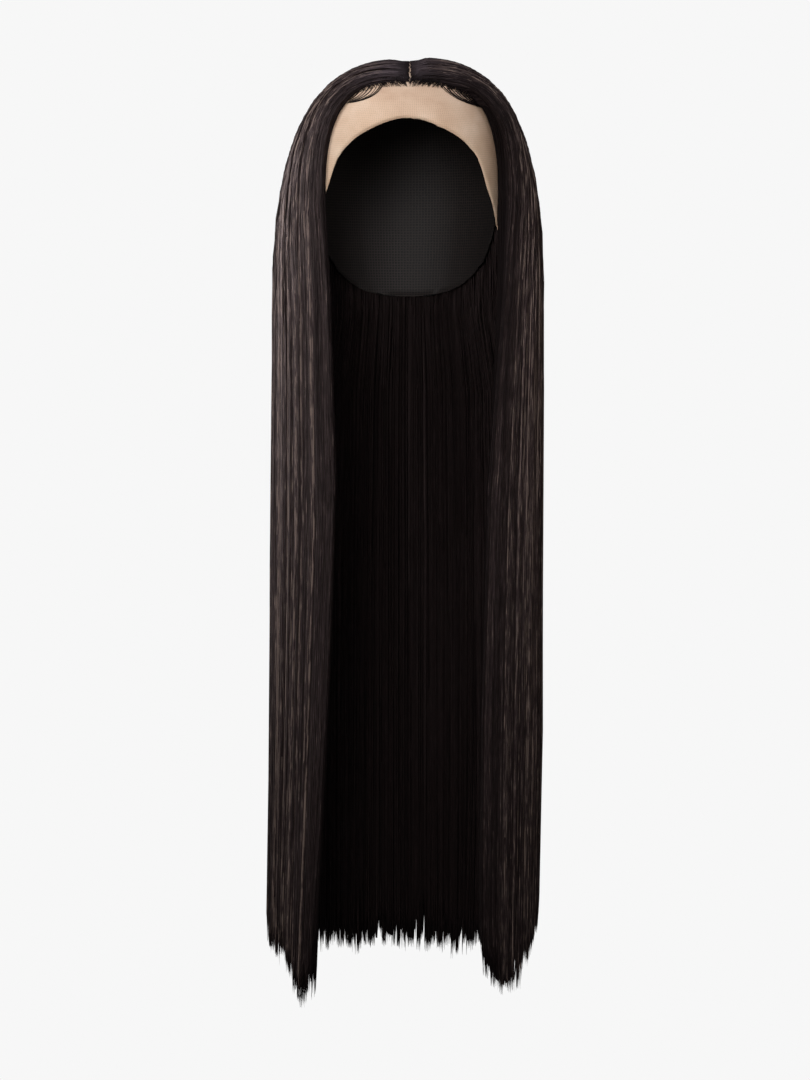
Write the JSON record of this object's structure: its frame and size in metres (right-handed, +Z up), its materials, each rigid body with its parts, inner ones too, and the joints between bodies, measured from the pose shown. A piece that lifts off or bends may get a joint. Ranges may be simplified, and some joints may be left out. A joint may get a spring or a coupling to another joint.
{
  "type": "lace front wig",
  "caption": "Long straight dark wig with a centre parting on a sheer lace front cap, in the form it keeps on a head.",
  "frame": {"origin": "inside of the lace at the crown, where the top of the head sits", "axes": "+Z up, -Y towards the face side, +X towards the wearer's left"},
  "size_m": [0.2214, 0.2099, 0.7424],
  "materials": {
    "lace": "sheer tan net",
    "stretch_net": "matt black net",
    "hair": "straight brown-black hair, soft sheen"
  },
  "bodies": {
    "root": {"lace_front": "lace", "wig_cap": "stretch_net", "hair_left": "hair", "hair_right": "hair", "hair_back": "hair", "baby_hair_left": "hair", "baby_hair_right": "hair"}
  },
  "joints": []
}
